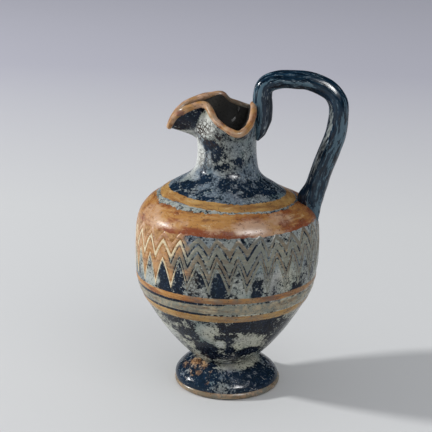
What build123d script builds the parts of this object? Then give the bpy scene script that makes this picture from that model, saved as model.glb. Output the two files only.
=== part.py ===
from build123d import *
from math import cos, hypot, pi, radians, sin, tan
import os

os.makedirs("parts", exist_ok=True)

# A small glass pouring jug, in millimetres. It stands on the XY plane with its axis on Z,
# the spout toward -X and the handle toward +X.

# Foot
foot_radius = 17.8          # widest radius of the pad foot
foot_edge_height = 2.6      # height of that widest radius
foot_rest_radius = 16.0     # flat underside that stands on the table
foot_crown_radius = 14.6    # half way up the foot's domed top
foot_crown_height = 6.8
foot_height = 9.6           # floor to the joint under the body
foot_neck_radius = 10.4     # top of the foot, at the joint
foot_thread_radius = 1.0    # thickness of the thread round the foot's edge
foot_thread_lift = 0.25     # the thread hangs clear of the floor by this

# Body and neck, outside radii and heights
stem_radius = 10.0          # underside of the body, on the foot
taper_radius = 18.6
taper_height = 18.0
belly_radius = 30.5
belly_height = 47.0
lower_wall_step = 4.8       # the lower wall is this much narrower than the belly
lower_wall_height = 28.4
shoulder_step = 1.8         # and so is the place where the wall begins to turn in
shoulder_height = 61.0
turn_step = 4.3             # and the middle of that turn
turn_height = 64.0
slope_radius = 16.8
slope_height = 70.0
neck_swell = 0.5            # the neck is this much wider at its root
neck_root_height = 76.0
neck_radius = 9.6
neck_top = 81.5             # joint between the neck and the mouth
wall = 3.0
floor_thickness = 4.5

# Threads trailed on the wall and pressed almost flat
thread_relief = 0.4         # how far they stand out of the glass
thread_gap = 0.35           # bare glass between neighbouring threads
girdle_start = 31.0         # lower edge of the lowest girdle thread
girdle_lower_width = 2.9
girdle_pale_width = 3.7
girdle_upper_width = 2.1
zigzag_teeth = 30
zigzag_turn = 0.83          # the first peak stands this share of a tooth off the handle
zigzag_rise = 8.4           # valley to peak, along the lowest line
zigzag_heights = (1.5, 2.4, 1.5, 2.4)   # the four lines from the lowest up, upright at the peaks
zigzag_gap = 0.6            # bare glass between two lines, upright at the peaks
zigzag_spread = 1.3         # lines and gaps are this much taller in the valleys
amber_width = 6.35          # broad band on the turn of the shoulder
shoulder_gap = 0.85         # grooved strip between the two shoulder threads
yellow_width = 1.75         # height of the band on the shoulder's slope

# Mouth: a disk pinched into three lobes
spout_reach = 21.5          # axis to the spout's tip, before the rim is trimmed
spout_side = (15.0, 7.2)    # half way along the spout: back from the axis, and half its width
pinch = (6.8, 6.4)          # the two pinches: back from the axis, and half the gap
lobe_front = (1.2, 11.4)
lobe_side = (4.4, 14.6)     # widest point of a side lobe: forward of the axis, and out
lobe_back = (8.0, 9.2)
rear_swell = 0.2            # the rear of the mouth stands this much proud of the neck
mouth_wall = 1.8
rim_tip_height = 87.0       # heights of the rim's edge under its thread, from the floor
rim_beak_height = 91.0
rim_spout_height = 93.9
rim_pinch_height = 96.2
rim_lobe_height = 88.7
rim_rear_height = 95.4
rim_thread_height = 1.6

# Handle: a drawn rod
handle_top = 104.6          # height of the rod's centre line at the top of the loop
handle_reach = 35.7         # axis to the rod's centre line at the back of the loop
rod_tip_radius = 1.2        # tip of the upper end, drawn out on the neck
rod_end_radius = 2.5        # upper end, pressed on the neck
rod_top_radius = 2.9        # top of the loop
rod_back_radius = 3.4       # back of the loop
rod_root_radius = 3.9       # root on the shoulder
rod_tail_radius = 1.6       # tail drawn down the body's side
rod_seat = 0.7              # how far the rod is bedded into the neck and the rim
tail_clear = 0.6            # the tail ends this far above the zigzags

# Radii that follow from the belly's
lower_wall_radius = belly_radius - lower_wall_step
shoulder_radius = belly_radius - shoulder_step
turn_radius = belly_radius - turn_step

# Heights that follow from the widths
girdle_pale_start = girdle_start + girdle_lower_width + thread_gap
girdle_upper_start = girdle_pale_start + girdle_pale_width + thread_gap
zigzag_start = girdle_upper_start + girdle_upper_width + 2 * thread_gap
zigzag_stack = sum(zigzag_heights) + (len(zigzag_heights) - 1) * zigzag_gap
zigzag_end = zigzag_start + zigzag_rise + zigzag_stack
amber_start = zigzag_end + thread_gap
yellow_start = amber_start + amber_width + shoulder_gap


# The body's outline from the foot up to the mouth, as a closed half section
with BuildSketch(Plane.XZ) as body_section:
    with BuildLine():
        belly = ThreePointArc(
            (lower_wall_radius, lower_wall_height),
            (belly_radius, belly_height),
            (shoulder_radius, shoulder_height),
        )
        lower_side = Spline(
            (stem_radius, foot_height),
            (taper_radius, taper_height),
            belly @ 0,
            tangents=((1, 0.75), belly % 0),
        )
        upper_side = Spline(
            belly @ 1,
            (turn_radius, turn_height),
            (slope_radius, slope_height),
            (neck_radius + neck_swell, neck_root_height),
            (neck_radius, neck_top),
            tangents=(belly % 1, (0, 1)),
        )
        Polyline(upper_side @ 1, (0, neck_top), (0, foot_height), lower_side @ 0)
    make_face()

# The body as if it were solid glass
with BuildPart() as body_solid:
    add(body_section.sketch)
    revolve(axis=Axis.Z)


# A point of the outline moved out of the wall by the threads' relief
def outward(line, share):
    along = line % share
    return line @ share + Vector(along.Y, -along.X) * thread_relief


# Half section of a skin over the wall, as thick as that relief
skin_steps = 10
with BuildSketch(Plane.XZ) as skin_section:
    with BuildLine():
        add(belly)
        add(upper_side)
        skin_belly = ThreePointArc(outward(belly, 0), outward(belly, 0.5), outward(belly, 1))
        skin_upper = Spline(
            [outward(upper_side, i / skin_steps) for i in range(skin_steps + 1)],
            tangents=(upper_side % 0, upper_side % 1),
        )
        Line(belly @ 0, skin_belly @ 0)
        Line(upper_side @ 1, skin_upper @ 1)
    make_face()


# A slice of that skin between two heights
def skin_slice(start, width):
    with BuildSketch(Plane.XZ) as slice_section:
        add(skin_section.sketch_local)
        with Locations((0, start)):
            Rectangle(2 * belly_radius, width, align=(Align.MIN, Align.MIN), mode=Mode.INTERSECT)
    return slice_section.sketch


# Bands that run level round the body
bands = {
    "girdle_thread_lower": (girdle_start, girdle_lower_width),
    "girdle_thread_pale": (girdle_pale_start, girdle_pale_width),
    "girdle_thread_upper": (girdle_upper_start, girdle_upper_width),
    "shoulder_band_amber": (amber_start, amber_width),
    "shoulder_thread_yellow": (yellow_start, yellow_width),
}
shoulder_threads = []
for name, (start, width) in bands.items():
    band_slice = skin_slice(start, width)
    with BuildPart() as band:
        add(band_slice)
        revolve(axis=Axis.Z)
    band.part.label = name
    export_step(band.part, f"parts/{name}.step")
    if start >= amber_start:
        shoulder_threads.append(band.part)

# Zigzags: one chevron on each of a ring of upright planes, cut down to the skin
tooth_angle = 2 * pi / zigzag_teeth
tooth_half = belly_radius * tan(tooth_angle / 2) + 0.1
tooth_root = turn_radius * cos(tooth_angle / 2)
zigzag_slice = skin_slice(zigzag_start - thread_gap, zigzag_end - zigzag_start + thread_gap)
with BuildPart() as zigzag_skin:
    add(zigzag_slice)
    revolve(axis=Axis.Z)
for k, line_height in enumerate(zigzag_heights):
    below = sum(zigzag_heights[:k]) + k * zigzag_gap
    valley = zigzag_start + below * zigzag_spread
    valley_top = valley + line_height * zigzag_spread
    peak = zigzag_start + zigzag_rise + below
    tooth_planes = []
    for j in range(zigzag_teeth):
        turn = (j + zigzag_turn) * tooth_angle
        out = Vector(cos(turn), sin(turn), 0)
        tooth_planes.append(Plane(origin=out * tooth_root, x_dir=(-sin(turn), cos(turn), 0), z_dir=out))
    with BuildPart() as zigzag:
        with BuildSketch(*tooth_planes):
            with BuildLine():
                Polyline(
                    (-tooth_half, valley),
                    (0, peak),
                    (tooth_half, valley),
                    (tooth_half, valley_top),
                    (0, peak + line_height),
                    (-tooth_half, valley_top),
                    close=True,
                )
            make_face()
        extrude(amount=belly_radius - tooth_root + 2)
        add(zigzag_skin.part, mode=Mode.INTERSECT)
    zigzag.part.label = f"zigzag_thread_{k + 1}"
    export_step(zigzag.part, f"parts/zigzag_thread_{k + 1}.step")

# The hollow body and neck
with BuildPart() as vessel_wall:
    add(body_solid.part)
    with BuildSketch(Plane.XZ):
        with BuildLine():
            hollow = Spline(
                (0, foot_height + floor_thickness),
                (taper_radius - wall, taper_height + wall),
                (belly_radius - wall, belly_height),
                (turn_radius - wall, turn_height - wall),
                (slope_radius - wall / 2, slope_height - wall),
                (neck_radius - wall + neck_swell, neck_root_height - wall / 2),
                (neck_radius - wall, neck_top),
                tangents=((1, 0), (0, 1)),
            )
            Polyline(hollow @ 1, (0, neck_top), hollow @ 0)
        make_face()
    revolve(axis=Axis.Z, mode=Mode.SUBTRACT)
vessel_wall.part.label = "vessel_wall"
export_step(vessel_wall.part, "parts/vessel_wall.step")

# Foot thread: a ring round the foot's lower edge
with BuildPart() as foot_thread:
    with BuildSketch(Plane.XZ):
        with Locations((foot_radius - foot_thread_radius, foot_thread_lift + foot_thread_radius)):
            Circle(foot_thread_radius)
    revolve(axis=Axis.Z)
foot_thread.part.label = "foot_thread"
export_step(foot_thread.part, "parts/foot_thread.step")

# Foot: a domed pad with a flat underside
with BuildPart() as foot:
    with BuildSketch(Plane.XZ):
        with BuildLine():
            dome = Spline(
                (foot_rest_radius, 0),
                (foot_radius, foot_edge_height),
                (foot_crown_radius, foot_crown_height),
                (foot_neck_radius, foot_height),
                tangents=((1, 0.3), (-1, 0.9)),
            )
            Polyline(dome @ 1, (0, foot_height), (0, 0), dome @ 0)
        make_face()
    revolve(axis=Axis.Z)
    add(foot_thread.part, mode=Mode.SUBTRACT)
foot.part.label = "foot"
export_step(foot.part, "parts/foot.step")


# Half of the mouth's plan, from the spout's tip round to the rear, grown from the neck's circle
def mouth_plan(growth, inset, ring_radius):
    full = [
        (-spout_reach, 0),
        (-spout_side[0], spout_side[1]),
        (-pinch[0], pinch[1]),
        (-lobe_front[0], lobe_front[1]),
        lobe_side,
        lobe_back,
        (neck_radius + rear_swell, 0),
    ]
    ring_angles = [180, 148, 124, 98, 68, 36, 0]
    plan = []
    for (x, y), angle in zip(full, ring_angles):
        scale = 1 - inset / hypot(x, y)
        ring_x = ring_radius * cos(radians(angle))
        ring_y = ring_radius * sin(radians(angle))
        plan.append((ring_x + growth * (x * scale - ring_x), ring_y + growth * (y * scale - ring_y)))
    return plan + [(x, -y) for x, y in reversed(plan[1:-1])]


# Heights above the neck's top at which the mouth has grown by a share of its full size
mouth_growth = [(0, 0), (2.8, 0.3), (4.8, 0.83), (7.6, 0.95), (17, 1)]
with BuildPart() as mouth_blank:
    for lift, growth in mouth_growth:
        with BuildSketch(Plane.XY.offset(neck_top + lift)):
            with BuildLine():
                Spline(mouth_plan(growth, 0, neck_radius), periodic=True)
            make_face()
    loft()

with BuildPart() as mouth_inside:
    with BuildSketch(Plane.XY.offset(neck_top)):
        with BuildLine():
            Spline(mouth_plan(0, 0, neck_radius - wall), periodic=True)
        make_face()
    for lift, growth in mouth_growth[1:]:
        with BuildSketch(Plane.XY.offset(neck_top + lift + mouth_wall)):
            with BuildLine():
                Spline(mouth_plan(growth, mouth_wall, neck_radius - wall), periodic=True)
            make_face()
    loft()

with BuildPart() as funnel:
    add(mouth_blank.part)
    add(mouth_inside.part, mode=Mode.SUBTRACT)

# The rim's edge seen from the side: low at the spout and the lobes, high at the pinches and the rear
rear_reach = neck_radius + rear_swell
rim_line = [
    (-spout_reach - 3, rim_tip_height - 3),
    (-spout_reach + 2, rim_tip_height),
    (-spout_reach + 4, rim_beak_height),
    (-spout_reach + 8, rim_spout_height),
    (-pinch[0], rim_pinch_height),
    (1 - lobe_front[0], (rim_pinch_height + 2 * rim_lobe_height) / 3),
    (lobe_side[0], rim_lobe_height),
    (lobe_back[0], (rim_rear_height + 3 * rim_lobe_height) / 4),
    (rear_reach - 0.2, rim_rear_height),
    (rear_reach + 4, rim_rear_height + 1),
]


# All the space above that edge, raised by a lift
def above_rim(lift):
    ceiling = rim_pinch_height + 20
    with BuildPart() as space:
        with BuildSketch(Plane.XZ):
            with BuildLine():
                edge = Spline([(x, z + lift) for x, z in rim_line])
                Polyline(edge @ 1, (rim_line[-1][0], ceiling), (rim_line[0][0], ceiling), edge @ 0)
            make_face()
        extrude(amount=2 * lobe_side[1], both=True)
    return space.part


over_mouth = above_rim(0)
over_thread = above_rim(rim_thread_height)
with BuildPart() as trefoil_mouth:
    add(funnel.part)
    add(over_mouth, mode=Mode.SUBTRACT)
trefoil_mouth.part.label = "trefoil_mouth"
export_step(trefoil_mouth.part, "parts/trefoil_mouth.step")

# Rim thread: laid along the top of the rim and melted flush with it
with BuildPart() as rim_thread:
    add(funnel.part)
    add(over_mouth, mode=Mode.INTERSECT)
    add(over_thread, mode=Mode.SUBTRACT)
rim_thread.part.label = "rim_thread"
export_step(rim_thread.part, "parts/rim_thread.step")

# Handle: one rod from the neck, over the rim's rear, down to the shoulder and the body's side
neck_line = rear_reach + rod_end_radius - rod_seat
handle_points = [
    (rear_reach + rod_tip_radius - 2 * rod_seat, neck_top + 3.4),
    (neck_line + 0.1, (neck_top + rim_rear_height) / 2 + 2),
    (neck_line - 0.1, rim_rear_height + 2.6),
    (neck_line + 1.1, handle_top - 2),
    (neck_line + 6, handle_top),
    (handle_reach - 9.5, handle_top),
    (handle_reach - 2.7, handle_top - 2.5),
    (handle_reach, handle_top - 8.7),
    (handle_reach - 1.1, handle_top - 17.5),
    ((handle_reach + belly_radius) / 2 - 2.4, turn_height + 10.5),
    (belly_radius - 1.7, turn_height + 1),
    (belly_radius - 1.2, zigzag_end + tail_clear),
]
handle_sections = [
    (0.0, rod_tip_radius),
    (0.06, rod_end_radius),
    (0.2, rod_top_radius),
    (0.5, rod_back_radius),
    (0.78, rod_root_radius),
    (0.89, rod_root_radius),
    (1.0, rod_tail_radius),
]
with BuildPart() as handle:
    with BuildLine(Plane.XZ):
        handle_path = Spline(handle_points)
    for share, radius in handle_sections:
        with BuildSketch(Plane(origin=handle_path @ share, x_dir=(0, 1, 0), z_dir=handle_path % share)):
            Circle(radius)
    sweep(path=handle_path, multisection=True)
    add(body_solid.part, mode=Mode.SUBTRACT)
    add(shoulder_threads, mode=Mode.SUBTRACT)
    add(trefoil_mouth.part, mode=Mode.SUBTRACT)
    add(rim_thread.part, mode=Mode.SUBTRACT)
handle.part.label = "handle"
export_step(handle.part, "parts/handle.step")
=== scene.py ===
import random
from math import cos, pi, radians, sin
from time import time

import bpy
import numpy as np
from mathutils import Matrix, Vector, noise


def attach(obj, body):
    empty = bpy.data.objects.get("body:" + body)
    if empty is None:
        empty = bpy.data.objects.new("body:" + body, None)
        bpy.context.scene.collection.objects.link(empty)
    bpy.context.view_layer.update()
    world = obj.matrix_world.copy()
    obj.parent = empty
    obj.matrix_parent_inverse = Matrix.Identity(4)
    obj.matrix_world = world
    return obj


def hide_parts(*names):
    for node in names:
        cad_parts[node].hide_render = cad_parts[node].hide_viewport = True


started = time()
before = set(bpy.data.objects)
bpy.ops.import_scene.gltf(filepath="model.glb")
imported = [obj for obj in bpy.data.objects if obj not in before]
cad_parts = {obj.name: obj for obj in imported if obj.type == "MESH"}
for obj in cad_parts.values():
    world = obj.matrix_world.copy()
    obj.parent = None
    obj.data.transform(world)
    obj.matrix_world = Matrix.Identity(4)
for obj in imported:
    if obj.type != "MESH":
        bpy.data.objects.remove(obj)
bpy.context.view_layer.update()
mm = 0.001
mergeGap = 0.000001  # metres, vertices closer than this become one
smoothAngle = 50  # degrees
photoTurn = 9  # degrees, how far round from the front the photograph was taken
sideFade = (0.05, 0.7)  # cosines between which a side of the jug fades out
# radii that only tell the outer rows of a template from its inner ones, until it gets its real shape
outerMark, innerMark, markSplit = 20, 10, 15
print("frame loaded", len(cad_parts), "solids")


# an even run of points on a smooth curve through the given ones
def smoothLine(points, count, closed=False):
    stepsPerSpan = 24
    knots = np.array(points, float)
    if closed:
        padded = np.vstack([knots[-1:], knots, knots[:2]])
    else:
        padded = np.vstack([2 * knots[0] - knots[1], knots, 2 * knots[-1] - knots[-2]])
    spans = len(knots) if closed else len(knots) - 1
    fine = []
    for t in np.linspace(0, spans, spans * stepsPerSpan + 1):
        k = min(int(t), spans - 1)
        u = t - k
        a, b, c, d = padded[k:k + 4]
        curve = 2 * b + (c - a) * u
        curve = curve + (2 * a - 5 * b + 4 * c - d) * u ** 2
        curve = curve + (3 * b - a - 3 * c + d) * u ** 3
        fine.append(0.5 * curve)
    fine = np.array(fine)
    run = np.concatenate([[0], np.cumsum(np.linalg.norm(np.diff(fine, axis=0), axis=1))])
    wanted = np.linspace(0, run[-1], count, endpoint=not closed)
    return np.column_stack([np.interp(wanted, run, fine[:, i]) for i in range(fine.shape[1])])


# a ring of edges laid on the section in XZ, then turned round the jug's axis
def spunPiece(name, section, steps, onAxis=False):
    bpy.ops.object.select_all(action="DESELECT")
    bpy.ops.mesh.primitive_circle_add(vertices=len(section), radius=mm)
    piece = bpy.context.object
    piece.name = piece.data.name = name
    for vertex, (radius, height) in zip(piece.data.vertices, section):
        vertex.co = (radius * mm, 0, height * mm)
    if onAxis:  # the edge that would lie along the axis goes
        bpy.ops.object.mode_set(mode="EDIT")
        bpy.ops.mesh.select_mode(type="VERT")
        bpy.ops.mesh.select_all(action="DESELECT")
        bpy.ops.object.mode_set(mode="OBJECT")
        piece.data.vertices[0].select = piece.data.vertices[-1].select = True
        bpy.ops.object.mode_set(mode="EDIT")
        bpy.ops.mesh.delete(type="EDGE_FACE")
        bpy.ops.object.mode_set(mode="OBJECT")
    turned = piece.modifiers.new("turned", "SCREW")
    turned.steps = turned.render_steps = steps
    turned.use_merge_vertices = True
    turned.merge_threshold = mergeGap
    bpy.ops.object.modifier_apply(modifier="turned")
    bpy.ops.object.mode_set(mode="EDIT")
    bpy.ops.mesh.select_all(action="SELECT")
    bpy.ops.mesh.remove_doubles(threshold=mergeGap)
    bpy.ops.mesh.normals_make_consistent(inside=False)
    bpy.ops.object.mode_set(mode="OBJECT")
    return piece


# the vertices as columns of x, y, z in millimetres
def readPlaces(piece):
    flat = np.empty(len(piece.data.vertices) * 3, np.float32)
    piece.data.vertices.foreach_get("co", flat)
    return flat.reshape(-1, 3).astype(float).T / mm


def shapePiece(piece, x, y, z):
    places = np.column_stack([x, y, z]) * mm
    piece.data.vertices.foreach_set("co", places.ravel().astype(np.float32))
    piece.data.update()
    bpy.ops.object.mode_set(mode="EDIT")
    bpy.ops.mesh.select_all(action="SELECT")
    bpy.ops.mesh.normals_make_consistent(inside=False)
    bpy.ops.object.mode_set(mode="OBJECT")


def smoothStep(low, high, value):
    t = np.clip((value - low) / (high - low), 0, 1)
    return t * t * (3 - 2 * t)


# 1 on a stretch of the value, coming in from start to full and going out from fade to end
def runShare(value, start, full, fade, end):
    return smoothStep(start, full, value) * smoothStep(end, fade, value)


# soft lumps of about that size, from -1 to 1
def grain(x, y, z, sizeMm, seed):
    rows = np.column_stack([x, y, z]) / sizeMm + np.array(seed)
    return np.array([noise.noise(row) for row in rows.tolist()])


# degrees round the jug from the middle of the photographed side, left is negative
def facing(x, y):
    return (np.degrees(np.arctan2(y, x)) + 90 - photoTurn + 180) % 360 - 180


# how much a place belongs to the side of the jug that looks that way, fading out round the back
def onSide(x, y, middle):
    return smoothStep(*sideFade, np.cos(np.radians(facing(x, y) - middle)))


# where the glass is bare and where it is weathered
weather = {
    "zones": [  # height, how far the film covers, how blue the film is
        (0, 0.22, 0.95), (9, 0.35, 0.8), (11, 0.56, 0.15), (28, 0.58, 0.15), (41, 0.70, 0.5),
        (60, 0.70, 0.65), (66, 0.72, 0.85), (70, 0.73, 0.95), (73, 0.74, 0.9), (77, 0.71, 0.9),
        (83, 0.72, 0.7), (100, 0.74, 0.3),
    ],
    # the rest: angle, height, half width, half height, level
    "film": [  # low levels leave navy glass bare, high ones are thick pale film; the lower body first
        (23, 30.0, 8.1, 2.6, 0.0), (0, 28.2, 2.3, 1.4, 0.05), (-1, 24.4, 2.9, 1.2, 0.05),
        (4, 19.6, 1.3, 2.9, 0.0), (-35, 22.9, 2.6, 2.0, 0.1), (-20, 18.1, 2.8, 2.5, 0.0),
        (24, 16.9, 2.7, 1.7, 0.0), (-38, 30.2, 4.1, 2.1, 0.36), (38, 25.2, 3.5, 1.7, 0.1),
        (-27, 28.8, 2.1, 1.1, 0.45), (50, 24, 4, 4, 0.3), (-8, 14.5, 5, 1.4, 0.1),
        (-15, 27.6, 3.3, 1.8, 0.95), (21, 22.0, 4.4, 2.4, 0.9), (-5, 21.1, 1.3, 1.4, 1.15),
        (-57, 22.6, 4.0, 2.1, 1.0), (-16, 23.4, 1.8, 1.4, 0.9), (-35, 22.6, 1.2, 0.7, 0.8),
        # the shoulder
        (-39, 73.3, 2.0, 1.0, 0.0), (-55, 71.4, 2.8, 0.8, 0.05), (-71, 69.9, 2.6, 0.6, 0.0),
        (-50, 69.2, 2.2, 0.5, 0.05), (-4, 72.2, 1.8, 1.1, 0.28), (9, 70.8, 1.3, 0.5, 0.2),
        (35, 71.3, 4.0, 1.5, 0.34), (60, 70.5, 5, 1.6, 0.34), (-3, 75.4, 3.9, 0.8, 0.95),
        (-20, 69.2, 2.5, 0.4, 0.3), (22, 69.6, 2.5, 0.4, 0.35), (-62, 73.5, 3, 0.8, 0.95),
        # the neck and the mouth; the chalk-white patches on the neck's left, at -60 and -85 degrees, are
        # partly real film and partly a painted highlight of the key lamp
        (-40, 84.4, 2.6, 1.4, 0.0), (-21, 81.0, 1.4, 2.2, 0.2), (21, 79.2, 1.4, 1.0, 0.3),
        (57, 82.1, 1.9, 3.3, 0.8), (-60, 80.4, 2.0, 3.4, 1.3), (22, 83.9, 3.3, 2.0, 0.85),
        (-37, 79.4, 0.8, 2.4, 1.0), (-85, 80, 3, 5, 1.35), (-48, 90, 4, 3, 1.3),
        (-8, 77.5, 2.4, 1.2, 0.35), (11, 74.9, 1.8, 0.7, 0.2),
        # under the zigzags
        (-40, 43.9, 2.3, 4.4, 0.0), (-30, 42.8, 1.8, 3.2, 0.25), (-15, 43.4, 2.0, 3.0, 0.7),
        (-4, 43.4, 1.6, 4.0, 0.0), (8, 43.8, 2.3, 3.4, 0.85), (19, 42.9, 1.6, 2.8, 0.2),
        (33, 42.9, 1.5, 2.2, 0.45), (49, 42.6, 2.6, 2.6, 0.25), (-55, 42.6, 3.6, 2.8, 0.95),
        (62, 46, 3, 4, 0.4),
    ],
    "stain": [  # rust and amber over the dark glass
        (-50, 8.8, 3.6, 0.9, 0.68), (-44, 7.2, 2.6, 1.4, 0.45), (-22, 5.2, 0.7, 3.4, 0.38),
        (-70, 7.2, 3, 0.9, 0.42),
    ],
    "web": [  # a net of fine dark cracks in the film
        (-50, 79.2, 3.0, 2.8, 0.6), (-50, 88, 5, 3, 1.0), (-26, 87, 2.5, 3, 0.6),
        (-20, 44.4, 1.6, 4.1, 0.6),
    ],
    "tint": [  # threads: 0 is their deep colour, 1 their bright one
        (-13, 64.2, 7.3, 1.1, 0.95), (-22, 60.4, 3.8, 1.5, 0.0), (-38, 59.6, 2.2, 1.1, 0.05),
        (9, 60.0, 1.8, 0.7, 0.0), (50, 60.2, 5.0, 1.4, 0.1), (40, 62.7, 1.8, 0.7, 0.15),
        (-56, 63.0, 5.7, 1.8, 0.95), (-4, 60.6, 3.8, 0.8, 0.3), (30, 65.3, 6, 0.5, 0.5),
        (-38, 63.2, 2.2, 0.7, 0.3),
    ],
    "blush": [  # threads: a pinkish bloom, and on the right of the amber band a painted reflection of the right-front lamps
        (16, 62.6, 4.6, 1.5, 0.85), (27, 60.2, 5.7, 0.9, 0.65), (-8, 61.6, 2.5, 0.8, 0.45),
        (-50, 61.2, 3.2, 1.3, 0.55), (39, 63.6, 4.3, 1.2, 0.55), (-30, 63.4, 2.0, 0.8, 0.4),
        (-62, 62.6, 5.0, 2.4, 0.55),
    ],
    "patchFields": ("film", "stain", "web", "tint", "blush"), "patchEdge": (1.8, 0.7), "leastReach": 3,
    "filmDrift": 0.3, "toneDrift": 0.5, "driftSize": 7,
    "warmMiddle": -75,  # degrees, the side where the amber shows through best
    "warmEdge": (0.74, 0.93), "warmDrift": 0.1, "warmSize": 6,
    "tintLevel": 0.55, "tintDrift": 0.5, "tintSize": 9,
}


# film, warmth and the rest for places on the jug, in millimetres
def weatherAt(x, y, z):
    turn = facing(x, y)
    heights, films, tones = zip(*weather["zones"])
    side = 0.5 + 0.5 * np.cos(np.radians(turn - weather["warmMiddle"]))
    side = side + weather["warmDrift"] * grain(x, y, z, weather["warmSize"], (1.5, 8.1, 3.7))
    filmDrift = weather["filmDrift"] * grain(x, y, z, weather["driftSize"], (3.1, 7.7, 1.9))
    toneDrift = weather["toneDrift"] * grain(x, y, z, weather["driftSize"], (9.3, 2.2, 5.4))
    tintDrift = weather["tintDrift"] * grain(x, y, z, weather["tintSize"], (6.4, 3.3, 8.8))
    fields = {
        "film": np.interp(z, heights, films) + filmDrift,
        "tone": np.interp(z, heights, tones) + toneDrift,
        "warm": smoothStep(*weather["warmEdge"], side),
        "tint": weather["tintLevel"] + tintDrift,
        "blush": 0 * x, "stain": 0 * x, "web": 0 * x, "paintedShade": 0 * x,
    }
    reach = np.maximum(np.hypot(x, y), weather["leastReach"])
    for field in weather["patchFields"]:
        for middle, height, halfWidth, halfHeight, level in weather[field]:
            across = np.radians((turn - middle + 180) % 360 - 180) * reach / halfWidth
            share = smoothStep(*weather["patchEdge"], np.hypot(across, (z - height) / halfHeight))
            fields[field] = fields[field] + (level - fields[field]) * share
    return fields


# writes the weathering on the piece's own vertices, and where its grain lies
def stainPiece(piece, change, lie=None):
    x, y, z = readPlaces(piece)
    fields = weatherAt(x, y, z)
    fields.update(change(x, y, z, fields))
    for field, values in fields.items():
        layer = piece.data.attributes.new(field, "FLOAT", "POINT")
        layer.data.foreach_set("value", np.asarray(values, np.float32) * np.ones(len(x), np.float32))
    layer = piece.data.attributes.new("lie", "FLOAT_VECTOR", "POINT")
    layer.data.foreach_set("vector", np.column_stack(lie or (x, y, z)).ravel().astype(np.float32))


def linear(hexColour):
    parts = [int(hexColour[i:i + 2], 16) / 255 for i in (1, 3, 5)]
    return tuple(((c + 0.055) / 1.055) ** 2.4 if c > 0.04045 else c / 12.92 for c in parts) + (1,)


# adds a node with its settings, values and links, and gives back one of its outputs
def addNode(tree, kind, inputs, output=0, **settings):
    node = tree.nodes.new(kind)
    for key, value in settings.items():
        setattr(node, key, value)
    for key, value in inputs.items():
        if isinstance(value, bpy.types.NodeSocket):
            tree.links.new(value, node.inputs[key])
        else:
            node.inputs[key].default_value = value
    return node.outputs[output]


# what every glass is mixed from: the fields on the vertices and grains of several sizes
glassStock = {
    "fields": ("film", "warm", "tone", "stain", "tint", "blush", "web", "paintedShade"),
    "grains": [  # name, where it lies, size in mm, detail, roughness
        ("edge", "lie", 4.5, 6, 0.62), ("fine", "lie", 1.5, 4, 0.6), ("speck", "lie", 0.6, 2, 0.5),
        ("cloud", "lie", 9.0, 3, 0.5), ("vein", "drawn", 3.0, 6, 0.66),
    ],
    "distortion": 0.4, "drawnOut": (0.45, 0.45, 3),  # veins run round the jug, and are thin in height
    "swirlMm": 5 / 3, "swirlDetail": 2, "swirlReach": (1.5, 1.5, 1.5),
    "crackMm": 4 / 3, "crackEdge": (0.2, 0.06),
    "mixtures": [  # name, start, what is added with its weight, then from, to, least and most
        ("worn", "film", [("edge", 1.8), ("fine", 1.8), ("speck", 1.1)], None),
        ("cover", "worn", [], (2.8, 2.88, 0, 1)),  # half covered where the film field is about a half
        ("relief", "cover", [("fine", 1.2), ("speck", 0.6)], None),
    ],
    "bumpStrength": 0.5, "ior": 1.52, "coat": 0.05,
}

# Cobalt core-formed glass, so deep a blue that it looks black, under a pale flaking film: crisp glints on
# the bare patches, a duller grey-green or grey-blue skin with dark pits and fine cracks elsewhere
cobalt = {
    "mixtures": [
        ("blue", "tone", [], (0.15, 0.9, 0, 1)), ("teal", "tone", [], (1.35, 1.8, 0, 1)),
        ("rusted", "stain", [("fine", 1.2), ("speck", 0.6)], None),
        ("gloss", "cover", [], (0, 1, 0.05, 0.14)),
        ("rough", "gloss", [("fine", 0.2), ("paintedShade", 0.6)], None),
    ],
    "layers": [  # result, under, over, what guides the one over, then from, to and its share there
        ("lit", "#131a2c", "#172a3f", "blue"), ("lit", "lit", "#163347", "teal"),
        ("dark", "#06080e", "#14202c", "blue"), ("dark", "dark", "#081420", "teal"),
        ("glass", "dark", "lit", "fine", 0.36, 0.7, 1),
        ("glass", "glass", "#6d808b", "speck", 0.6, 0.7, 0.45),
        ("thin", "#6f7168", "#343f4a", "blue"), ("thick", "#acac9c", "#687580", "blue"),
        ("skin", "thin", "thick", "worn", 2.82, 3.25, 1),
        ("skin", "skin", "#625c66", "cloud", 0.55, 0.7, 0.4),
        ("skin", "skin", "#5c7672", "cloud", 0.45, 0.32, 0.4),
        # chalk white where the film field runs high; on the neck's left this is partly a painted highlight
        ("skin", "skin", "#cfd1cb", "film", 0.85, 1.4, 0.95),
        ("skin", "skin", "#262b30", "speck", 0.41, 0.34, 0.85),
        ("skin", "skin", "#bfc2ba", "speck", 0.6, 0.7, 0.4),
        ("skin", "skin", "#435d6b", "tone", 1.35, 1.8, 0.85),
        ("colour", "glass", "skin", "cover"),
        ("rust", "#84592f", "#b48856", "fine", 0.36, 0.64, 1),
        ("colour", "colour", "rust", "rusted", 1.28, 1.75, 0.88),
        # the near-black #171412 is painted shade: the dark inside of the mouth and the inner side of the
        # handle's upper end
        ("colour", "colour", "#2e231c", "cracks"), ("colour", "colour", "#171412", "paintedShade"),
    ],
    "coatRough": 0.07, "bumpMm": 0.12,
}
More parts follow.
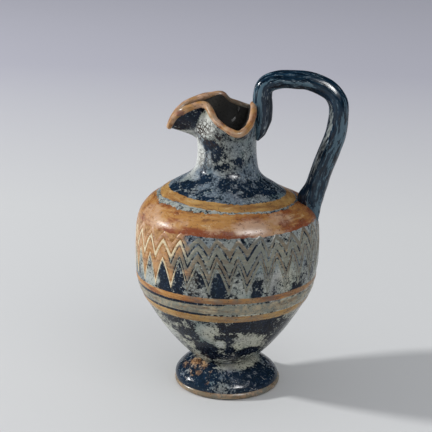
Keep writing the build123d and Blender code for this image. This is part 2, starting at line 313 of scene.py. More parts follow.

# Opaque coloured glass laid on as a hot thread and rolled in: blotches and streaks of its deep and bright
# colour, a pinkish bloom that is partly a painted reflection of the right-front lamps, dark pits, and a dull
# veil where the film has taken the colour away
thread = {
    "mixtures": [
        ("blotch", "tint", [("vein", 2.2), ("edge", 1.6)], None),
        ("flush", "blush", [("fine", 1.2), ("edge", 0.8)], None),
        ("bare", "warm", [("fine", 0.8), ("edge", 0.8)], None),
        ("gloss", "cover", [], (0, 1, 0.17, 0.22)),
        ("rough", "gloss", [("fine", 0.2), ("paintedShade", 0.6)], None),
    ],
    "layers": [
        ("colour", "deep", "bright", "blotch", 2.05, 2.75, 1),
        ("colour", "colour", "bloom", "flush", 1.15, 1.75, 0.9),
        ("dull", "veil", "#6d736d", "cloud", 0.4, 0.62, 1),
        ("colour", "colour", "dull", "bare", 1.4, 0.98, 0.95),
        ("colour", "colour", "#bda583", "vein", 0.57, 0.66, 0.42),
        ("colour", "colour", "#664a33", "vein", 0.46, 0.32, 0.75),
        ("colour", "colour", "#3c332b", "speck", 0.36, 0.29, 0.8),
    ],
    "coatRough": 0.22, "bumpMm": 0.1,
}


def mixGlass(name, recipe, shine, **tints):
    material = bpy.data.materials.new(name)
    material.use_nodes = True
    tree = material.node_tree
    f = {tint: linear(hexColour) for tint, hexColour in tints.items()}
    for field in glassStock["fields"]:
        f[field] = addNode(tree, "ShaderNodeAttribute", {}, "Fac", attribute_name=field)
    f["lie"] = addNode(tree, "ShaderNodeAttribute", {}, "Vector", attribute_name="lie")
    f["drawn"] = addNode(tree, "ShaderNodeMapping", {"Vector": f["lie"], "Scale": glassStock["drawnOut"]})
    for grainName, where, size, detail, rough in glassStock["grains"]:
        f[grainName] = addNode(tree, "ShaderNodeTexNoise", {
            "Vector": f[where], "Scale": 1 / size, "Detail": detail, "Roughness": rough,
            "Distortion": glassStock["distortion"],
        }, "Fac")
    swirl = addNode(tree, "ShaderNodeTexNoise", {
        "Vector": f["lie"], "Scale": 1 / glassStock["swirlMm"], "Detail": glassStock["swirlDetail"],
    }, "Color")
    bent = addNode(tree, "ShaderNodeVectorMath", {
        0: swirl, 1: glassStock["swirlReach"], 2: f["lie"],
    }, operation="MULTIPLY_ADD")
    gap = addNode(tree, "ShaderNodeTexVoronoi", {
        "Vector": bent, "Scale": 1 / glassStock["crackMm"],
    }, "Distance", feature="DISTANCE_TO_EDGE")
    wide, narrow = glassStock["crackEdge"]
    crack = addNode(tree, "ShaderNodeMapRange", {0: gap, 1: wide, 2: narrow})
    f["cracks"] = addNode(tree, "ShaderNodeMath", {0: crack, 1: f["web"]}, operation="MULTIPLY")
    for result, start, parts, span in glassStock["mixtures"] + recipe["mixtures"]:
        f[result] = f[start]
        for part, weight in parts:
            f[result] = addNode(
                tree, "ShaderNodeMath", {0: f[part], 1: weight, 2: f[result]}, operation="MULTIPLY_ADD"
            )
        if span:
            f[result] = addNode(tree, "ShaderNodeMapRange", {0: f[result], **dict(enumerate(span, 1))})
    for result, under, over, guide, *span in recipe["layers"]:
        share = f[guide]
        if span:
            share = addNode(tree, "ShaderNodeMapRange", {0: share, 1: span[0], 2: span[1], 4: span[2]})
        below, above = [f[c] if c in f else linear(c) for c in (under, over)]
        f[result] = addNode(tree, "ShaderNodeMix", {0: share, 6: below, 7: above}, 2, data_type="RGBA")
    bump = addNode(tree, "ShaderNodeBump", {
        "Strength": glassStock["bumpStrength"], "Distance": recipe["bumpMm"] * mm, "Height": f["relief"],
    })
    shader = tree.nodes["Principled BSDF"]
    tree.links.new(f["colour"], shader.inputs["Base Color"])
    tree.links.new(f["rough"], shader.inputs["Roughness"])
    tree.links.new(bump, shader.inputs["Normal"])
    shader.inputs["IOR"].default_value = glassStock["ior"]
    shader.inputs["Specular IOR Level"].default_value = shine
    shader.inputs["Coat Weight"].default_value = glassStock["coat"]
    shader.inputs["Coat Roughness"].default_value = recipe["coatRough"]
    return material


wallShine, rodShine, threadShine = 0.12, 0.32, 0.2
cobaltGlass = mixGlass("weatheredCobaltGlass", cobalt, wallShine)
rodGlass = mixGlass("drawnCobaltGlass", cobalt, rodShine)
amberGlass = mixGlass(
    "amberThreadGlass", thread, threadShine,
    deep="#7f4328", bright="#a87a44", veil="#736a59", bloom="#b8967c",
)
ochreGlass = mixGlass(
    "ochreThreadGlass", thread, threadShine,
    deep="#8f6538", bright="#ad8850", veil="#94876a", bloom="#bda67f",
)
paleGlass = mixGlass(
    "paleThreadGlass", thread, threadShine,
    deep="#b89f78", bright="#cfc0a0", veil="#7a7d72", bloom="#cdc1a8",
)
print("glass mixed", round(time() - started, 1), "s")


def finishPiece(piece, node, material):
    piece.data.materials.clear()
    piece.data.materials.append(material)
    bpy.ops.object.select_all(action="DESELECT")
    piece.select_set(True)
    bpy.context.view_layer.objects.active = piece
    bpy.ops.object.shade_smooth_by_angle(angle=radians(smoothAngle))
    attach(piece, "root")
    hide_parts(node)
    print(piece.name, len(piece.data.polygons), "faces", round(time() - started, 1), "s")


body = {
    "outline": [  # radius, height
        (10.0, 9.6), (14.8, 14), (18.2, 18), (21.2, 22), (23.8, 26), (26.2, 30), (28.4, 34), (29.7, 38),
        (30.25, 42), (30.45, 47), (30.45, 52), (30.1, 57), (29.0, 61), (26.6, 64), (23.4, 66),
        (20.1, 68), (16.8, 70), (13.4, 72), (11.2, 74), (10.2, 76), (9.75, 79), (9.6, 81.5),
    ],
    "hollow": [(6.6, 81.5), (7.1, 74.5), (15.3, 67), (23.2, 61), (27.5, 47), (15.6, 21), (0, 14.1)],
    "underside": [(0, 9.6), (5, 9.6)], "floor": (0, 14.1),
    "finePoints": 600, "rings": 172, "hollowRings": 22, "columns": 480,
    "uneven": 0.16, "unevenSize": 20, "unevenReach": 8,
    "aside": 0.3, "asideRun": (36, 50, 64, 72),  # the belly stands a little off the axis
    "lean": 0.045, "leanRight": 0.025, "leanRun": (62, 69, 73, 80),  # the shoulder sinks toward the handle
    # film between the zigzag lines and over them, and more of it on the right
    "band": (40.3, 61), "lineMargin": 0.5, "amongFilm": 0.45, "overFilm": 0.66,
    "rightSide": 75, "rightFilm": 0.12, "stainRise": (0.1, 0.8),
    # the grooves beside the shoulder's and the girdle's threads
    "groove": (65.4, 67.2), "grooveFilm": 0.86, "grooveTone": 0.5,
    "girdle": (33, 39), "girdleFilm": 0.8, "girdleBareSide": -80,
}
outlineLine = smoothLine(body["outline"], body["finePoints"])


def wallRadius(height):
    return np.interp(height, outlineLine[:, 1], outlineLine[:, 0])


# the small unevenness of glass turned by hand, shared by the wall and all that lies on it
def handMade(x, y, z):
    swell = body["uneven"] * grain(x, y, z, body["unevenSize"], (4.2, 1.6, 6.3))
    grow = 1 + swell / np.maximum(np.hypot(x, y), body["unevenReach"])
    lean = body["lean"] * x + body["leanRight"] * np.maximum(x, 0)
    aside = body["aside"] * runShare(z, *body["asideRun"])
    return x * grow + aside, y * grow, z - lean * runShare(z, *body["leanRun"])


zigzag = {
    "teeth": 30, "firstPeak": 0.83, "start": 41.1, "rise": 9.6, "spread": 1.6, "gap": 0.6, "relief": 0.1,
    "heights": (1.6, 1.6, 2.7, 1.7), "leftHeights": (1.25, 3.3, 1.4, 1.65), "leftSide": -85,
    "sideDrift": 1.2, "heightDrift": 0.6, "round": 0.4, "seed": 12, "edgeDrift": 0.15,
    "faded": (0, 0.1, 0, 0.2), "warmTint": 0.35, "bloom": 0.12, "fadedBloom": 2,
}
random.seed(zigzag["seed"])
toothAngle = 360 / zigzag["teeth"]
corners = []  # angle and height of each valley and peak in turn
for j in range(zigzag["teeth"]):
    for part, level in ((-0.5, 0), (0, zigzag["rise"])):
        drift = random.uniform(-1, 1) * zigzag["sideDrift"]
        lift = random.uniform(-1, 1) * zigzag["heightDrift"]
        corners.append(((j + zigzag["firstPeak"] + part) * toothAngle + drift, level + lift))
cornerAngles = np.array([c[0] for c in corners])
cornerHeights = np.array([c[1] for c in corners])
stackHeight = sum(zigzag["heights"]) + zigzag["gap"] * (len(zigzag["heights"]) - 1)


# height of the lowest line's lower edge, and how much taller the lines are there than at a peak
def zigzagLine(x, y):
    turn = np.degrees(np.arctan2(y, x)) % 360
    turn = np.where(turn < cornerAngles[0], turn + 360, turn)
    k = np.searchsorted(cornerAngles, turn, side="right") - 1
    after = (k + 1) % len(corners)
    span = cornerAngles[after] + np.where(after == 0, 360, 0) - cornerAngles[k]
    t = (turn - cornerAngles[k]) / span
    t = np.where(cornerHeights[after] > cornerHeights[k], t, 1 - t)
    low = np.minimum(cornerHeights[k], cornerHeights[after])
    high = np.maximum(cornerHeights[k], cornerHeights[after])
    t = t * (1 - zigzag["round"]) + np.sin(t * pi / 2) * zigzag["round"]
    return zigzag["start"] + low + (high - low) * t, zigzag["spread"] + (1 - zigzag["spread"]) * t


outside = smoothLine(body["outline"], body["rings"])
inside = smoothLine(body["hollow"], body["hollowRings"])
section = body["underside"] + [tuple(p) for p in [*outside, *inside[:-1]]] + [body["floor"]]
vesselBody = spunPiece("vessel_body", section, body["columns"], onAxis=True)
shapePiece(vesselBody, *handMade(*readPlaces(vesselBody)))


# dark glass between the lines and in the grooves, and amber stain there on the warm side
def bodyChange(x, y, z, fields):
    lowest, stretch = zigzagLine(x, y)
    up = (z - lowest) / stretch
    band, groove, girdle = [(z > body[k][0]) & (z < body[k][1]) for k in ("band", "groove", "girdle")]
    among = band & (up > body["lineMargin"]) & (up < stackHeight - body["lineMargin"])
    film = np.where(among, body["amongFilm"], fields["film"])
    film = np.where(band & (up > stackHeight), np.maximum(film, body["overFilm"]), film)
    film = film + body["rightFilm"] * onSide(x, y, body["rightSide"]) * band
    film = np.where(groove, body["grooveFilm"], film)
    film = np.where(girdle, body["girdleFilm"] * (1 - onSide(x, y, body["girdleBareSide"])), film)
    stain = np.where(band, fields["warm"] * smoothStep(*body["stainRise"], up), fields["stain"])
    tone = np.where(groove, body["grooveTone"], fields["tone"])
    return {"film": film, "stain": stain, "tone": tone}


stainPiece(vesselBody, bodyChange)
finishPiece(vesselBody, "vessel_wall", cobaltGlass)

threadShape = {
    "sunk": 0.5, "edge": -0.03, "across": 9, "columns": 660,
    "slowDrift": 0.33, "quickDrift": 0.05, "quickShare": 0.7,  # on a ring of radius 1
}


# a flat crowned strip between two edges, its back sunk in the wall
def threadPiece(name, node, material, edges, change, relief):
    across = threadShape["across"]
    template = [(outerMark, k / (across - 1)) for k in range(across)] + [(innerMark, 1), (innerMark, 0)]
    piece = spunPiece(name, template, threadShape["columns"])
    x, y, share = readPlaces(piece)
    low, high = edges(x, y)
    height = low + (high - low) * share
    crown = 1 - np.abs(2 * share - 1) ** 3
    front = threadShape["edge"] + (relief - threadShape["edge"]) * crown
    out = np.where(np.hypot(x, y) > markSplit, front, -threadShape["sunk"])
    turn = np.arctan2(y, x)
    reach = wallRadius(height) + out
    shapePiece(piece, *handMade(reach * np.cos(turn), reach * np.sin(turn), height))
    stainPiece(piece, change)
    finishPiece(piece, node, material)


# slow and quick drift of a thread's edge round the jug
def wander(x, y, seed, sizeMm):
    turn = np.arctan2(y, x)
    level = np.full_like(turn, seed)
    slow = grain(np.cos(turn), np.sin(turn), level, threadShape["slowDrift"], (0, 0, 0))
    quick = grain(np.cos(turn), np.sin(turn), level, threadShape["quickDrift"], (0, 0, 5))
    return sizeMm * (slow + threadShape["quickShare"] * quick)


for k in range(len(zigzag["heights"])):
    def lineEdges(x, y):
        lowest, stretch = zigzagLine(x, y)
        left = onSide(x, y, zigzag["leftSide"])
        reaches = [a + (b - a) * left for a, b in zip(zigzag["heights"], zigzag["leftHeights"])]
        below = sum(reaches[:k]) + k * zigzag["gap"]
        low = lowest + below * stretch + wander(x, y, k, zigzag["edgeDrift"])
        high = lowest + (below + reaches[k]) * stretch + wander(x, y, k + 10, zigzag["edgeDrift"])
        return low, high

    def lineChange(x, y, z, fields):
        faded = zigzag["faded"][k]
        return {
            "warm": fields["warm"] * (1 - faded),
            "tint": fields["tint"] + zigzag["warmTint"] * fields["warm"],
            "blush": zigzag["bloom"] + zigzag["fadedBloom"] * faded * fields["warm"],
        }

    glass = paleGlass if k % 2 == 0 else amberGlass
    slot = "pale_glass" if k % 2 == 0 else "amber_glass"
    lineName, lineNode = f"zigzag_line_{k + 1}", f"zigzag_thread_{k + 1}"
    threadPiece(lineName, lineNode, glass, lineEdges, lineChange, zigzag["relief"])

bands = {
    "rows": [  # piece, node, slot, glass, its edges, their drift, wider grooves at the left, warmth, tint
        ("girdle_ochre", "girdle_thread_lower", "yellow_glass", ochreGlass,
         (31.0, 33.85), 0.2, (0, 0), 0.5, 0),
        ("girdle_pale", "girdle_thread_pale", "pale_glass", paleGlass,
         (34.15, 38.0), 0.15, (0.4, 0.5), 0.26, -0.3),
        ("girdle_amber", "girdle_thread_upper", "amber_glass", amberGlass,
         (38.3, 40.45), 0.15, (0, 0), 0.45, 0.1),
        ("shoulder_amber", "shoulder_band_amber", "amber_glass", amberGlass,
         (59.5, 66.1), 0.45, (0, 0.15), 0.75, 0),
        ("shoulder_ochre", "shoulder_thread_yellow", "yellow_glass", ochreGlass,
         (66.4, 68.5), 0.32, (0.25, 0), 0.8, 0),
    ],
    "relief": 0.14, "leftSide": -80,
    "mostWarmth": 0.9, "coolWarmth": 0.4,  # cooler threads stay as they are
    "deeper": 0.18, "deeperRun": (62.6, 60.4), "deeperFrom": 55,  # the amber band's lower edge
}
for seed, (name, node, slot, glass, reaches, drift, grooves, warmth, lighter) in enumerate(bands["rows"]):
    def bandEdges(x, y):
        left = onSide(x, y, bands["leftSide"])
        low = reaches[0] + grooves[0] * left + wander(x, y, seed + 30, drift)
        return low, reaches[1] - grooves[1] * left + wander(x, y, seed + 40, drift)

    def bandChange(x, y, z, fields):
        warmer = (bands["mostWarmth"] - warmth) * fields["warm"] * (warmth > bands["coolWarmth"])
        deeper = bands["deeper"] * smoothStep(*bands["deeperRun"], z) * (z > bands["deeperFrom"])
        return {"warm": warmth + warmer, "tint": fields["tint"] + lighter - deeper}

    threadPiece(name, node, glass, bandEdges, bandChange, bands["relief"])
print("threads laid")

mouth = {
    # plan and rim height, from the rear round the near side, the spout and back along the far side
    "rim": [
        (8.5, 0.0, 96.2), (9.1, -5.5, 93.8), (8.2, -10.2, 90.7), (5.0, -13.5, 89.3), (-1.5, -11.0, 92.4),
        (-6.2, -6.4, 96.8), (-12.4, -6.8, 95.2), (-16.7, -4.2, 91.9), (-19.1, -0.2, 88.2), (-17.0, 4.5, 92.8),
        (-12.7, 7.0, 95.7), (-4.0, 6.2, 98.2), (-0.8, 10.3, 95.3), (2.9, 12.4, 93.6), (6.4, 9.6, 93.4),
    ],
    "ringAngles": [0, -22, -42, -66, -98, -124, -148, -164, -180, -196, -212, -236, -262, -292, -322],
    "start": 81.5, "neckRadius": 9.6, "boreRadius": 6.6, "outset": 0.5, "inset": 1.4,
    "finePoints": 1200, "flarePoints": 200, "columns": 300, "rows": 30,
    # share of the height, and how far the wall has spread from the neck to the rim
    "flare": [(0, 0), (0.35, 0.03), (0.5, 0.1), (0.65, 0.29), (0.8, 0.62), (0.92, 0.9), (1, 1)],
    "innerFlare": [(0, 0), (0.3, 0.06), (0.5, 0.2), (0.7, 0.5), (0.85, 0.8), (1, 1)],
    # the hollow under the spout's near lip, between two corners of the rim, painted as bare dark glass that
    # is partly its real colour and partly painted shade, and the pale film below it
    "pinchCorner": 5, "tipCorner": 8, "lensTop": 0.94, "lensDepth": 0.36, "lensRound": 0.7, "lensSoft": 0.03,
    "lensFilm": 0.2, "keelRun": (0.2, 0.05), "keelFrom": 0.1, "keelFilm": 1.25,
    "edgeFrom": 0.95, "edgeFilm": 1.1,
    # the inside of the mouth is darkened almost to black as painted shade, over brown stain toward the top
    "innerFilm": 0.9, "innerPaintedShade": 0.95, "innerStain": 0.3, "innerRun": (0.6, 0.95),
}
rimLoop = smoothLine(mouth["rim"], mouth["finePoints"], closed=True)
# the share of the rim's run at each of its corners, to pair it with its angle on the neck
nearest = [np.argmin(np.linalg.norm(rimLoop - np.array(corner), axis=1)) for corner in mouth["rim"]]
cornerShares = np.array(nearest + [len(rimLoop)]) / len(rimLoop)
neckAngles = np.radians(np.array(mouth["ringAngles"] + [-360.0]))


def rimPoint(share):
    spot = (share % 1) * len(rimLoop)
    steps = np.arange(len(rimLoop) + 1)
    return [np.interp(spot, steps, np.append(rimLoop[:, i], rimLoop[0, i])) for i in range(3)]


levels = [k / (mouth["rows"] - 1) for k in range(mouth["rows"])]
template = [(outerMark, level) for level in levels] + [(innerMark, level) for level in reversed(levels)]
funnel = spunPiece("trefoil_funnel", template, mouth["columns"])
x, y, rimUp = readPlaces(funnel)
rimShare = (-np.arctan2(y, x) / (2 * pi)) % 1
isInner = np.hypot(x, y) < markSplit
rimX, rimY, rimZ = rimPoint(rimShare)
neckAngle = np.interp(rimShare, cornerShares, neckAngles)
neckReach = np.where(isInner, mouth["boreRadius"], mouth["neckRadius"])
edgeScale = 1 + np.where(isInner, -mouth["inset"], mouth["outset"]) / np.hypot(rimX, rimY)
outerGrow = np.interp(rimUp, *zip(*smoothLine(mouth["flare"], mouth["flarePoints"])))
innerGrow = np.interp(rimUp, *zip(*smoothLine(mouth["innerFlare"], mouth["flarePoints"])))
grow = np.where(isInner, innerGrow, outerGrow)
neckX, neckY = neckReach * np.cos(neckAngle), neckReach * np.sin(neckAngle)
shapePiece(
    funnel,
    neckX + (rimX * edgeScale - neckX) * grow,
    neckY + (rimY * edgeScale - neckY) * grow,
    mouth["start"] + (rimZ - mouth["start"]) * rimUp,
)


# the hollow under the spout's near lip as bare dark glass, partly painted shade; pale film round it; inside,
# brown stain darkened by painted shade
def mouthChange(x, y, z, fields):
    pinchShare, tipShare = cornerShares[mouth["pinchCorner"]], cornerShares[mouth["tipCorner"]]
    along = np.clip((rimShare - pinchShare) / (tipShare - pinchShare), 0, 1)
    floorUp = mouth["lensTop"] - mouth["lensDepth"] * np.sin(pi * along) ** mouth["lensRound"]
    lens = smoothStep(-mouth["lensSoft"], mouth["lensSoft"], rimUp - floorUp) * ((along > 0) & (along < 1))
    film = fields["film"] + (mouth["lensFilm"] - fields["film"]) * lens
    keel = smoothStep(*mouth["keelRun"], floorUp - rimUp) * ((along > mouth["keelFrom"]) & (along < 1))
    film = np.maximum(film, mouth["keelFilm"] * keel * (1 - lens))
    film = np.where(rimUp > mouth["edgeFrom"], mouth["edgeFilm"], film)
    return {
        "film": np.where(isInner, mouth["innerFilm"], film),
        "stain": np.where(isInner, mouth["innerStain"] * smoothStep(*mouth["innerRun"], rimUp), 0),
        "web": np.where(isInner, 0, fields["web"] * (1 - lens)),
        "paintedShade": mouth["innerPaintedShade"] * isInner,
    }


stainPiece(funnel, mouthChange)
finishPiece(funnel, "trefoil_mouth", cobaltGlass)

rimThread = {
    "radius": 1.08, "columns": 360, "around": 16, "uneven": 0.22, "unevenSize": 3, "tangentStep": 0.002,
    "run": 90, "grainAlong": 0.8, "grainAcross": 1.6,
    "warm": 0.55, "tint": 0.75, "tintDrift": 1.2, "tintSize": 2.5,
    "bloom": 0.3, "bloomDrift": 0.8, "bloomSize": 2.0, "innerBloom": 0.3, "innerRun": (0.2, -0.6),
    "farY": (4, 8), "farX": (-9, -4), "farWarm": 0.35, "farTint": 0.6,  # the far side of the rim is duller
}
angles = [2 * pi * k / rimThread["around"] for k in range(rimThread["around"])]
rimRoll = spunPiece("rim_roll", [(outerMark + cos(a), sin(a)) for a in angles], rimThread["columns"])
x, y, z = readPlaces(rimRoll)
share = (-np.arctan2(y, x) / (2 * pi)) % 1
side = np.hypot(x, y) - outerMark
middle = np.column_stack(rimPoint(share))
ahead, behind = [np.column_stack(rimPoint(share + s * rimThread["tangentStep"])) for s in (1, -1)]
along = ahead - behind
along /= np.linalg.norm(along, axis=1, keepdims=True)
upward = np.array([0, 0, 1]) - along * along[:, 2:]
upward /= np.linalg.norm(upward, axis=1, keepdims=True)
outward = np.cross(upward, along)
uneven = grain(*middle.T, rimThread["unevenSize"], (1, 2, 3))
radius = rimThread["radius"] * (1 + rimThread["uneven"] * uneven)
spots = middle + (outward * side[:, None] + upward * z[:, None]) * radius[:, None]
shapePiece(rimRoll, *spots.T)
rimLie = (
    share * rimThread["run"] * rimThread["grainAlong"],
    side * rimThread["grainAcross"],
    z * rimThread["grainAcross"],
)


# patches of bright and deep amber with a pale bloom, dull along the far side
def rimChange(x, y, z, fields):
    far = smoothStep(*rimThread["farY"], y) * smoothStep(*rimThread["farX"], x)
    tint = rimThread["tint"] + rimThread["tintDrift"] * grain(x, y, z, rimThread["tintSize"], (5, 1, 7))
    bloom = rimThread["bloom"] + rimThread["bloomDrift"] * grain(x, y, z, rimThread["bloomSize"], (8, 3, 2))
    bloom = bloom + rimThread["innerBloom"] * smoothStep(*rimThread["innerRun"], side)
    return {
        "warm": rimThread["warm"] - rimThread["farWarm"] * far,
        "tint": tint - rimThread["farTint"] * far,
        "blush": bloom * (1 - far),
    }


stainPiece(rimRoll, rimChange, rimLie)
finishPiece(rimRoll, "rim_thread", amberGlass)
print("mouth shaped")

handle = {
    "path": [
        (9.9, 84.6), (10.9, 87.5), (11.5, 91), (11.5, 95), (11.2, 99.2), (12.5, 102.9), (16.9, 104.7),
        (22.3, 104.8), (26.7, 104.4), (32.4, 102.0), (35.3, 98.5), (35.9, 94.5), (35.2, 88), (33.3, 82.2),
        (31.2, 76.3), (29.9, 71.5), (29.0, 66), (29.2, 61), (29.8, 57.2),
    ],
    "radii": [  # share of the run, radius
        (0, 0.4), (0.03, 1.7), (0.08, 2.75), (0.15, 2.9), (0.33, 2.95), (0.56, 3.2), (0.7, 3.5), (0.78, 3.5),
        (0.84, 3.4), (0.9, 2.9), (0.955, 1.7), (1, 0.4),
    ],
    "finePoints": 800, "rows": 190, "around": 56, "uneven": 0.12, "unevenSize": 4, "unevenAcross": 3,
    "facet": 0.92, "facetTurn": 222, "facetSoft": 0.05,  # a flat along the inner near side
    "pad": (0.908, 0.045, 1.0), "bulge": (0.14, 0.07, 0.16),  # share, half length, how far it swells inward
    "run": 87, "grainAlong": 0.28, "grainAcross": 1.7,
    # streaks of film, then more or less of it on stretches of the run, given as shares
    "film": 0.3, "streaks": 0.28, "streakScale": (2, 2, 9),
    # the lighter outer back of the rod is partly real film and partly a painted sheen
    "backFilmAndSheen": 0.28, "backOut": (0.2, 0.9), "backRun": (0.4, 0.5, 0.7, 0.82),
    # the grey flat on the inner near side is partly real film and partly a painted reflection of the bright
    # floor and key lamp
    "facetFilmAndSheen": 0.52, "facetRun": (0.42, 0.5, 0.76, 0.84), "facetTone": 1.2,
    "upperFilm": 0.12, "upperRun": (0.32, 0.2), "lowerFilm": 0.35, "lowerRun": (0.9, 0.95),
    "topLess": 0.1, "topRun": (0.28, 0.38, 0.5, 0.6), "bendLess": 0.35, "bend": (0.46, 0.05),
    "padOut": (-1.0, -1.3),  # the pad's underside is bare
    "tone": 1.8, "leafTone": 0.7, "leafOut": (0.0, -0.4), "leafRun": (0.24, 0.18),
    # the brown tint and darkening on the inner side of the upper end are painted shade and reflection, not a
    # stain
    "brownOut": (-0.55, -0.85), "brownRun": (0.22, 0.16), "brownShadeTint": 0.25, "brownPaintedShade": 0.3,
}
handleLine = smoothLine(handle["path"], handle["finePoints"])
template = [(0, 0)] + [(1, k / (handle["rows"] - 1)) for k in range(handle["rows"])] + [(0, 1)]
rod = spunPiece("handle_rod", template, handle["around"], onAxis=True)
x, y, share = readPlaces(rod)
steps = np.linspace(0, 1, len(handleLine))
slope = np.gradient(handleLine, axis=0)
slope /= np.linalg.norm(slope, axis=1, keepdims=True)
middleX, middleZ = [np.interp(share, steps, handleLine[:, i]) for i in (0, 1)]
alongX, alongZ = [np.interp(share, steps, slope[:, i]) for i in (0, 1)]
radius = np.interp(share, *zip(*handle["radii"]))
reach, turn = np.hypot(x, y), np.arctan2(y, x)
# away from the loop's middle, and toward the far side
out, toward = reach * np.cos(turn), reach * np.sin(turn)
flatTurn = radians(handle["facetTurn"])
beyond = np.maximum(out * cos(flatTurn) + toward * sin(flatTurn) - handle["facet"], 0)
onFacet = smoothStep(0, handle["facetSoft"], beyond)
out, toward = out - beyond * cos(flatTurn), toward - beyond * sin(flatTurn)
for spot, halfLength, swell in (handle["pad"], handle["bulge"]):
    out = out * np.where(out < 0, 1 + swell * np.exp(-((share - spot) / halfLength) ** 2), 1)
uneven = grain(middleX, toward * handle["unevenAcross"], middleZ, handle["unevenSize"], (2, 7, 4))
lumps = radius + handle["uneven"] * uneven
shapePiece(rod, middleX - alongZ * out * lumps, toward * lumps, middleZ + alongX * out * lumps)
rodLie = (
    out * radius * handle["grainAcross"],
    toward * radius * handle["grainAcross"],
    share * handle["run"] * handle["grainAlong"],
)


# streaks along the rod, a greyer outer back partly of film and partly a painted sheen, a grey flat on the
# inner near side partly of film and partly a painted reflection, a bare bend that catches the light, and
# painted brown shade at the upper end
def rodChange(x, y, z, fields):
    acrossScale, towardScale, alongScale = handle["streakScale"]
    streaks = grain(out * acrossScale, toward * towardScale, share * alongScale, 1, (2, 5, 8))
    film = handle["film"] + handle["streaks"] * streaks
    back = smoothStep(*handle["backOut"], out) * runShare(share, *handle["backRun"])
    film = film + handle["backFilmAndSheen"] * back
    film = film + (handle["facetFilmAndSheen"] - film) * onFacet * runShare(share, *handle["facetRun"])
    film = film + handle["upperFilm"] * smoothStep(*handle["upperRun"], share)
    film = film + handle["lowerFilm"] * smoothStep(*handle["lowerRun"], share)
    film = film - handle["topLess"] * runShare(share, *handle["topRun"])
    bendAt, bendHalf = handle["bend"]
    film = film - handle["bendLess"] * np.exp(-((share - bendAt) / bendHalf) ** 2)
    film = film * (1 - smoothStep(*handle["padOut"], out))
    brown = smoothStep(*handle["brownOut"], out) * smoothStep(*handle["brownRun"], share)
    leaf = smoothStep(*handle["leafOut"], out) * smoothStep(*handle["leafRun"], share)
    flat = onFacet * smoothStep(*handle["facetRun"][:2], share)
    return {
        "film": film, "tone": handle["tone"] - handle["facetTone"] * flat - handle["leafTone"] * leaf,
        "stain": handle["brownShadeTint"] * brown, "web": 0, "paintedShade": handle["brownPaintedShade"] * brown,
    }


stainPiece(rod, rodChange, rodLie)
finishPiece(rod, "handle", rodGlass)
print("handle drawn")

foot = {
    "dome": [(10.2, 9.6), (11.6, 8.9), (14.6, 6.8), (16.9, 4.6), (17.6, 2.9), (17.2, 1.2), (16.0, 0.0)],
    "top": [(0, 9.6), (5, 9.6)], "underside": [(8, 0), (0, 0)],
    "columns": 300, "rings": 44, "uneven": 0.012, "unevenSize": 11, "unevenRise": (0, 2),
    "aside": 0.8, "lean": -0.16,  # the foot sits a little off the axis, and leans back over it
    "threadRadius": 1.2, "threadMiddle": (16.8, 1.3), "around": 18,
    # pale film on the upper right of the dome
    "upperRise": (7.5, 9), "upperTurn": (-30, 0), "upperFilm": 0.9, "upperTone": 0.7,
    "threadWear": {"warm": 0.25, "tint": 1.0, "blush": 0.3},
}


def footPlace(x, y, z):
    lumps = foot["uneven"] * grain(x, y, 0 * z, foot["unevenSize"], (2, 4, 1))
    swell = 1 + lumps * smoothStep(*foot["unevenRise"], z)
    return x * swell + foot["aside"] + foot["lean"] * z, y * swell, z


def footChange(x, y, z, fields):
    upper = smoothStep(*foot["upperRise"], z) * smoothStep(*foot["upperTurn"], facing(x, y))
    film = fields["film"] + (foot["upperFilm"] - fields["film"]) * upper
    return {"film": film, "tone": fields["tone"] - foot["upperTone"] * upper}


dome = [tuple(p) for p in smoothLine(foot["dome"], foot["rings"])]
padFoot = spunPiece("pad_foot", foot["top"] + dome + foot["underside"], foot["columns"], onAxis=True)
shapePiece(padFoot, *footPlace(*readPlaces(padFoot)))
stainPiece(padFoot, footChange)
finishPiece(padFoot, "foot", cobaltGlass)

ringX, ringZ = foot["threadMiddle"]
angles = [2 * pi * k / foot["around"] for k in range(foot["around"])]
ringRadius = foot["threadRadius"]
ringSection = [(ringX + ringRadius * cos(a), ringZ + ringRadius * sin(a)) for a in angles]
footRing = spunPiece("foot_ring", ringSection, foot["columns"])
shapePiece(footRing, *footPlace(*readPlaces(footRing)))
stainPiece(footRing, lambda x, y, z, fields: foot["threadWear"])
finishPiece(footRing, "foot_thread", amberGlass)
print("foot made")

stage = {
    # the floor fades from its near colour to a darker far colour toward the back, a painted shade of the
    # light falling off
    "floorSize": 6.0, "near": "#d0d1d1", "far": "#b9b9c3", "fadeFrom": 0.2, "fadeTo": 0.68,
    "paperRough": 0.9, "paperShine": 0.1, "surround": "#e9ebf0", "surroundLight": 0.6,
}
bpy.ops.object.select_all(action="DESELECT")
bpy.ops.mesh.primitive_plane_add(size=stage["floorSize"])
floor = bpy.context.object
floor.name = "floor"
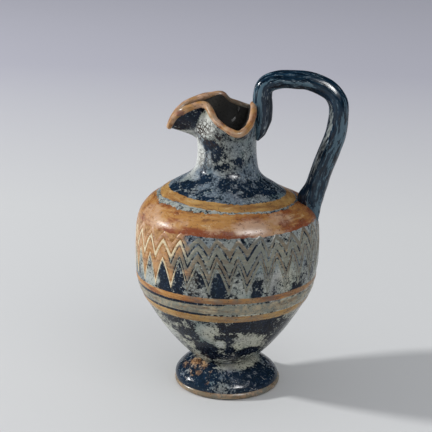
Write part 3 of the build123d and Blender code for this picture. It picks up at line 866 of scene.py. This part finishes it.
# pale matt paper, greyed toward the back by painted shade
paper = bpy.data.materials.new("palePaper")
paper.use_nodes = True
tree = paper.node_tree
place = addNode(tree, "ShaderNodeTexCoord", {}, "Object")
depth = addNode(tree, "ShaderNodeSeparateXYZ", {0: place}, 1)
fade = addNode(tree, "ShaderNodeMapRange", {0: depth, 1: stage["fadeFrom"], 2: stage["fadeTo"]})
paperColour = addNode(
    tree, "ShaderNodeMix", {0: fade, 6: linear(stage["near"]), 7: linear(stage["far"])}, 2, data_type="RGBA"
)
paperShader = tree.nodes["Principled BSDF"]
tree.links.new(paperColour, paperShader.inputs["Base Color"])
paperShader.inputs["Roughness"].default_value = stage["paperRough"]
paperShader.inputs["Specular IOR Level"].default_value = stage["paperShine"]
floor.data.materials.append(paper)

world = bpy.data.worlds.new("studio")
bpy.context.scene.world = world
world.use_nodes = True
world.cycles_visibility.glossy = False  # the dark glass mirrors the lamps and the floor only
world.node_tree.nodes["Background"].inputs[0].default_value = linear(stage["surround"])
world.node_tree.nodes["Background"].inputs[1].default_value = stage["surroundLight"]

rightFront = (0.5, -0.6, 0.62)
lampAim = Vector((0, 0, 0.05))
lamps = [  # name, direction from the jug, distance, size, power, whether it lights matt surfaces
    ("key", (-0.907, -0.097, 0.413), 2.2, 0.24, 47, True),
    ("fill", rightFront, 1.2, 1.1, 2.9, True),
    ("window", rightFront, 1.0, 0.45, 11.0, False),
    ("glint", rightFront, 0.9, 0.15, 4.0, False),
]
for name, direction, distance, size, power, lightsMatt in lamps:
    bpy.ops.object.light_add(type="AREA")
    lamp = bpy.context.object
    lamp.name = name
    lamp.data.shape = "DISK"
    lamp.data.size = size
    lamp.data.energy = power
    lamp.visible_diffuse = lightsMatt
    lamp.location = Vector(direction).normalized() * distance + lampAim
    lamp.rotation_euler = (-Vector(direction)).to_track_quat("-Z", "Y").to_euler()

view = {
    "place": (56.3, -355.6, 163.1), "lens": 94.06, "sensor": 36, "nearest": 0.01,
    "pitch": 16.2, "heading": 9.553, "roll": 0.3,
}
bpy.ops.object.camera_add(location=Vector(view["place"]) * mm)
camera = bpy.context.object
camera.data.lens = view["lens"]
camera.data.sensor_width = view["sensor"]
camera.data.clip_start = view["nearest"]
heading, pitch = radians(view["heading"]), radians(view["pitch"])
look = Vector((-sin(heading) * cos(pitch), cos(heading) * cos(pitch), -sin(pitch)))
rolled = Matrix.Rotation(radians(view["roll"]), 3, "Z")
camera.rotation_euler = (look.to_track_quat("-Z", "Y").to_matrix() @ rolled).to_euler()
bpy.context.scene.camera = camera
bpy.context.scene.view_settings.view_transform = "Standard"
